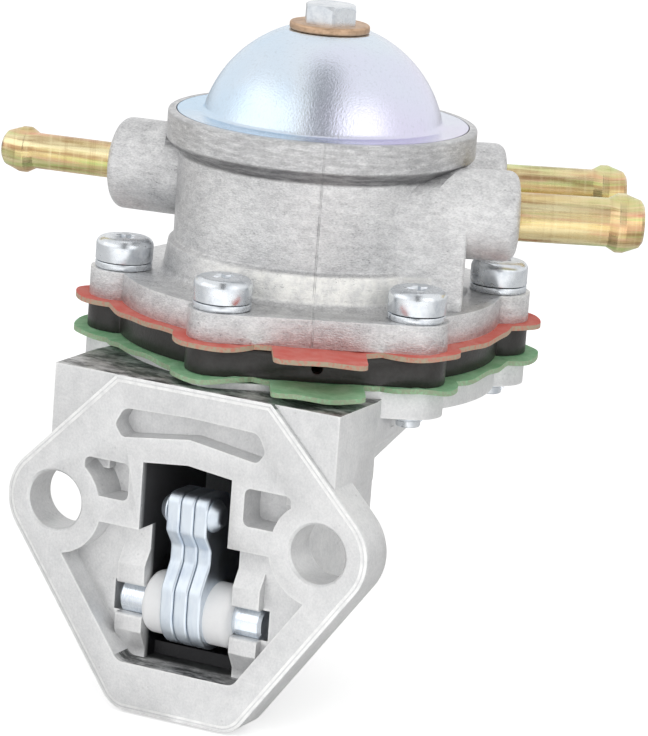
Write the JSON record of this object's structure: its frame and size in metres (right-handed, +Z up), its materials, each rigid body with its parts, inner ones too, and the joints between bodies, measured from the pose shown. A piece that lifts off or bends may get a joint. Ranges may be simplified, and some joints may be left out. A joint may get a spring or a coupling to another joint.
{
  "type": "mechanical fuel pump",
  "caption": "Mechanical diaphragm fuel pump with a rocker arm, bolted flange, domed cap and hose spigots.",
  "frame": {"origin": "centre of the mounting face, midway between the two bolt holes", "axes": "+X along the two bolt holes, +Y from the mounting face into the pump, +Z up towards the dome, parallel to the diaphragm axis"},
  "size_m": [0.108, 0.0793, 0.1132],
  "materials": {
    "cast_body": "die-cast aluminium, dull mid grey, lightly blasted",
    "cast_housing": "die-cast aluminium, paler and smoother, satin",
    "spacer_black": "black moulded phenolic, satin gloss",
    "membrane_red": "red rubberised fabric, matte",
    "membrane_green": "green rubberised fabric, matte",
    "zinc_fastener": "bright zinc plated steel",
    "arm_steel": "stamped steel, bluish zinc plated",
    "pin_steel": "ground steel",
    "nylon_white": "white nylon, satin",
    "dome_zinc": "pressed steel, smooth, blue zinc plated",
    "spigot_gold": "steel tube, yellow zinc plated with a faint iridescence",
    "washer_copper": "copper, slightly tarnished",
    "spring_steel": "drawn spring wire",
    "inner_steel": "pressed steel",
    "valve_brass": "turned brass",
    "valve_rubber": "black fuel-proof rubber",
    "gauze": "woven wire gauze in a pressed hoop"
  },
  "bodies": {
    "pump": {"lower_housing": "cast_housing", "upper_body": "cast_body", "spacer_ring": "spacer_black", "fuel_diaphragm": "membrane_red", "safety_diaphragm": "membrane_green", "flange_screws": "zinc_fastener", "spring_washers": "zinc_fastener", "pivot_pin": "pin_steel", "arm_return_spring": "spring_steel", "diaphragm_spring": "spring_steel", "rod_seal": "valve_rubber", "dome_cap": "dome_zinc", "cap_gasket": "valve_rubber", "filter_screen": "gauze", "cap_bolt": "zinc_fastener", "cap_bolt_washer": "washer_copper", "outlet_spigot": "spigot_gold", "return_spigot": "spigot_gold", "inlet_spigot": "spigot_gold", "inlet_valve_seat": "valve_brass", "inlet_valve_cage": "valve_brass", "inlet_valve_spring": "spring_steel", "outlet_valve_seat": "valve_brass", "outlet_valve_cage": "valve_brass", "outlet_valve_spring": "spring_steel"},
    "arm": {"arm_plate_left": "arm_steel", "arm_plate_middle": "arm_steel", "arm_plate_right": "arm_steel", "arm_rivets": "arm_steel", "pivot_bush_left": "nylon_white", "pivot_bush_right": "nylon_white"},
    "rod": {"diaphragm_rod": "pin_steel", "fuel_disc": "inner_steel", "middle_spool": "inner_steel", "safety_disc": "inner_steel"},
    "inlet_valve": {"inlet_valve_disc": "valve_rubber"},
    "outlet_valve": {"outlet_valve_disc": "valve_rubber"}
  },
  "joints": [
    {"name": "arm_pivot", "type": "hinge", "parent": "pump", "child": "arm", "pos_m": [0, 0.0066, -0.01505], "axis": [-1, 0, 0], "range_deg": [0, 8.6], "stiffness_Nm_per_rad": 0.14, "springref_deg": -8.59, "deforming": ["arm_return_spring"]},
    {"name": "rod_slide", "type": "slide", "parent": "pump", "child": "rod", "axis": [0, 0, -1], "range_m": [0, 0.00495], "stiffness_N_per_m": 10, "springref_m": -0.036, "deforming": ["diaphragm_spring", "fuel_diaphragm", "safety_diaphragm"]},
    {"name": "inlet_valve_slide", "type": "slide", "parent": "pump", "child": "inlet_valve", "axis": [0, 0, -1], "range_m": [0, 0.001], "stiffness_N_per_m": 10, "springref_m": -0.002, "deforming": ["inlet_valve_spring"]},
    {"name": "outlet_valve_slide", "type": "slide", "parent": "pump", "child": "outlet_valve", "axis": [0, 0, 1], "range_m": [0, 0.001], "stiffness_N_per_m": 10, "springref_m": -0.002, "deforming": ["outlet_valve_spring"]}
  ],
  "couplings": [
    {"joint": "arm_pivot", "follows": "rod_slide", "rad_per_m": 30.275}
  ]
}
